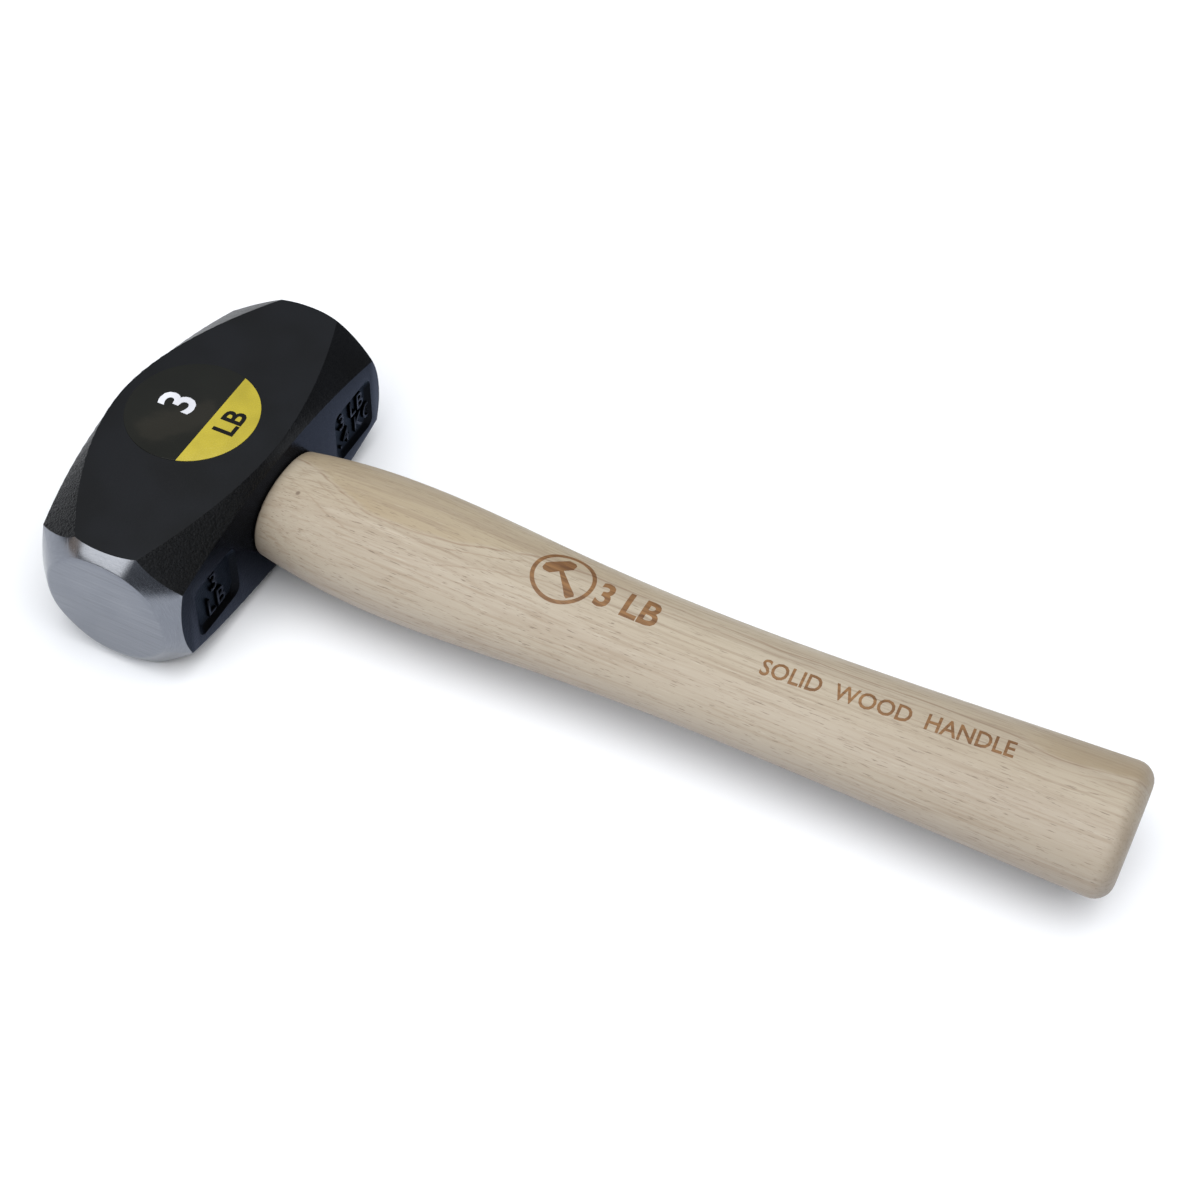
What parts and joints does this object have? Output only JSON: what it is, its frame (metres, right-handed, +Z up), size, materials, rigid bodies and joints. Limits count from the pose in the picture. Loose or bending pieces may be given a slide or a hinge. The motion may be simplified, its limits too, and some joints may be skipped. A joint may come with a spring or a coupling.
{
  "type": "short-handled drilling hammer",
  "caption": "Short-handled sledge or drilling hammer: forged double-faced steel head with tapering corner bevels, wedged onto a swelled oval wooden handle.",
  "frame": {"origin": "on the plane of the lower cheek, under the centre of the head, where the hammer lies at rest", "axes": "+X along the handle from the head to the butt, +Y along the head from one striking face to the other, +Z up out of the labelled cheek"},
  "size_m": [0.2941, 0.1094, 0.042],
  "materials": {
    "black_paint_on_steel": "black enamel over forged steel, satin on the cheeks, rough on the corner bevels, with bright ground striking ends",
    "hickory": "pale straight-grained wood, sanded, thin clear coat, burned-in marks",
    "wedge_wood": "darker hardwood, end grain, bare",
    "wedge_steel": "plain steel, hammered flush",
    "label_film": "glossy printed film, half black and half yellow"
  },
  "bodies": {
    "root": {"hammer_head": "black_paint_on_steel", "handle": "hickory", "eye_wedge": "wedge_wood", "steel_wedges": "wedge_steel", "weight_label": "label_film"}
  },
  "joints": []
}
